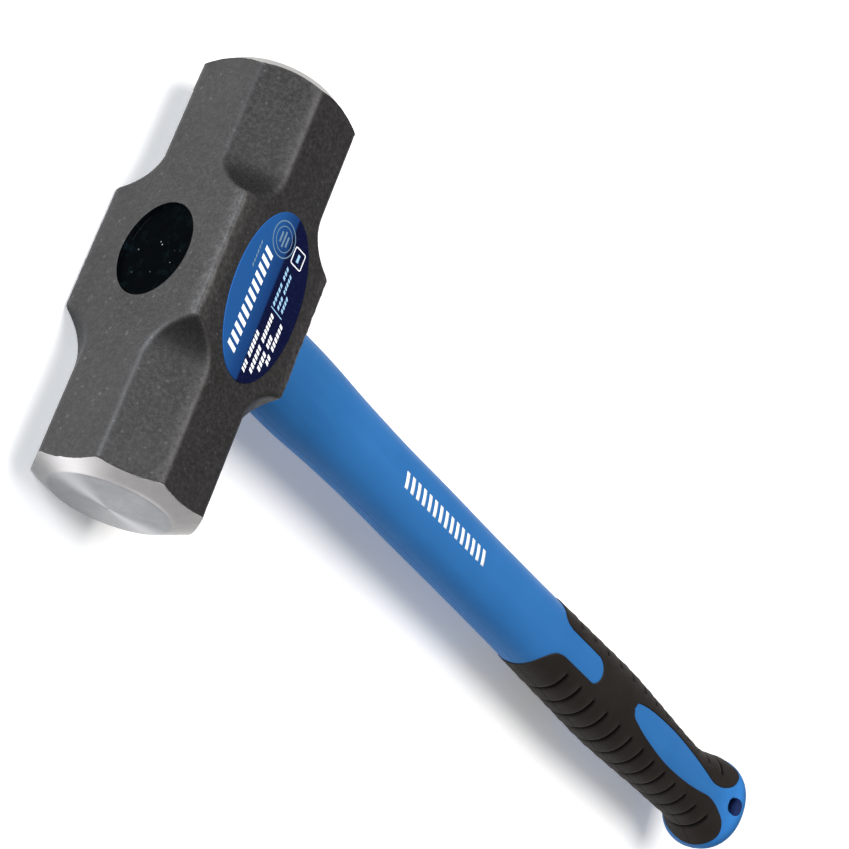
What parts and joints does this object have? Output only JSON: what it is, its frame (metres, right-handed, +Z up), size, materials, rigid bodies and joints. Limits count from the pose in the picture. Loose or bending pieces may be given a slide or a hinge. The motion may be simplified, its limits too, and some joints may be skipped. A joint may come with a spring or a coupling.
{
  "type": "lump hammer",
  "caption": "Short-handled double-faced sledge hammer with a forged octagonal steel head and a fibreglass handle in a moulded jacket with a ribbed soft grip.",
  "frame": {"origin": "middle of the bounding box's bottom face, with the hammer lying on its side on the lower cheek of the head", "axes": "+X along the handle from the top of the head to the butt, +Y along the head towards one striking face, +Z up through the cheek that carries the label"},
  "size_m": [0.406, 0.1354, 0.0467],
  "materials": {
    "head_steel": "fine-speckled charcoal paint on forged steel, with bare turned steel on the striking faces",
    "epoxy": "poured black resin, glossy",
    "fibreglass": "pultruded glass fibre, hidden",
    "jacket": "satin blue moulded plastic with a light mould texture",
    "grip_rubber": "matt warm black thermoplastic rubber with a fine texture",
    "label": null
  },
  "bodies": {
    "root": {"head": "head_steel", "epoxy_fill": "epoxy", "core_rod": "fibreglass", "jacket": "jacket", "grip": "grip_rubber", "label": "label"}
  },
  "joints": []
}
